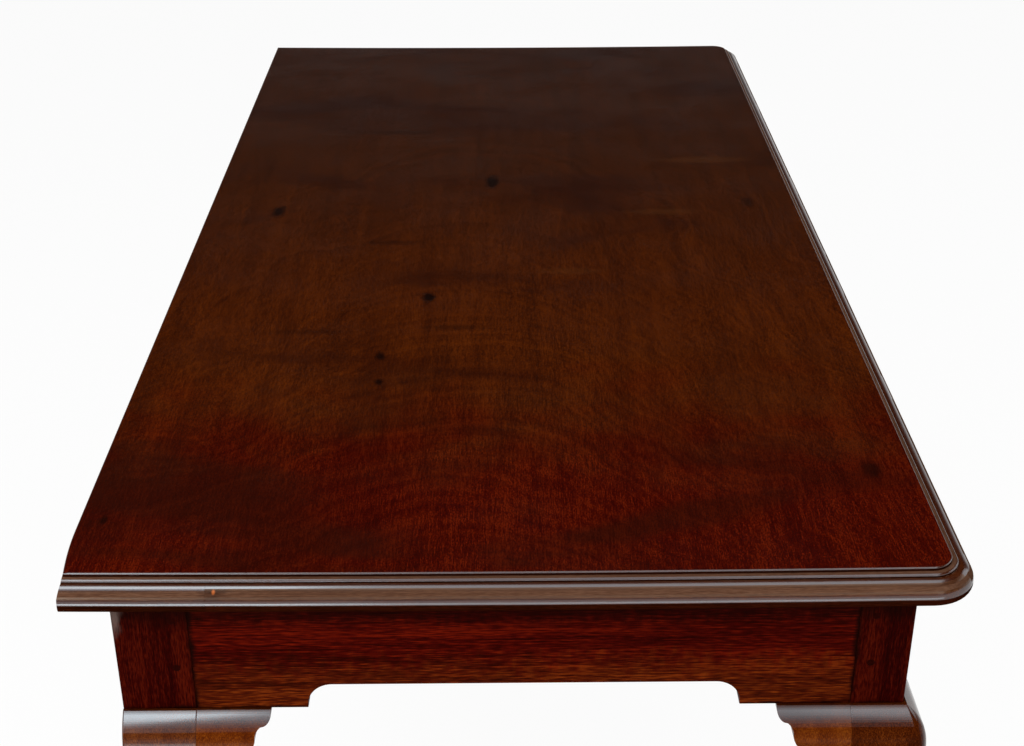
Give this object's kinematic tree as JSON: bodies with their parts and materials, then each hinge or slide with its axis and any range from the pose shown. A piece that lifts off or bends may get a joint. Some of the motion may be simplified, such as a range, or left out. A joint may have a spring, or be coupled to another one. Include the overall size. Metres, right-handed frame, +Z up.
{
  "type": "serving table",
  "caption": "Long wooden serving table with a straight back edge, moulded front and ends, shaped frieze rails, and cabriole legs with knee brackets and pad feet.",
  "frame": {"origin": "on the floor, under the middle of the top's length and depth", "axes": "+X along the length, -Y towards the moulded front, +Y towards the straight back that stands to a wall, +Z up"},
  "size_m": [1.44, 0.703, 0.76],
  "materials": {
    "mahogany_top": "dark red-brown polished mahogany, grain along the length",
    "mahogany_rail": "polished mahogany, straight horizontal grain",
    "mahogany_leg": "polished mahogany, vertical grain",
    "oak": "unpolished aged oak",
    "peg_wood": "dark end grain, flush with the posts",
    "iron": "dark hand-filed iron"
  },
  "bodies": {
    "root": {"top": "mahogany_top", "edge_splice": "mahogany_top", "front_rail": "mahogany_rail", "left_end_rail": "mahogany_rail", "right_end_rail": "mahogany_rail", "back_rail": "oak", "front_left_leg": "mahogany_leg", "front_right_leg": "mahogany_leg", "back_left_leg": "mahogany_leg", "back_right_leg": "mahogany_leg", "front_left_front_bracket": "mahogany_leg", "front_right_front_bracket": "mahogany_leg", "front_left_end_bracket": "mahogany_leg", "front_right_end_bracket": "mahogany_leg", "back_left_end_bracket": "mahogany_leg", "back_right_end_bracket": "mahogany_leg", "left_cross_bearer": "oak", "right_cross_bearer": "oak", "front_left_inner_glue_block": "oak", "front_left_outer_glue_block": "oak", "front_right_inner_glue_block": "oak", "front_right_outer_glue_block": "oak", "back_left_inner_glue_block": "oak", "back_left_outer_glue_block": "oak", "back_right_inner_glue_block": "oak", "back_right_outer_glue_block": "oak", "left_end_front_glue_block": "oak", "left_end_back_glue_block": "oak", "right_end_front_glue_block": "oak", "right_end_back_glue_block": "oak", "tenon_pegs": "peg_wood", "top_screws": "iron"}
  },
  "joints": []
}
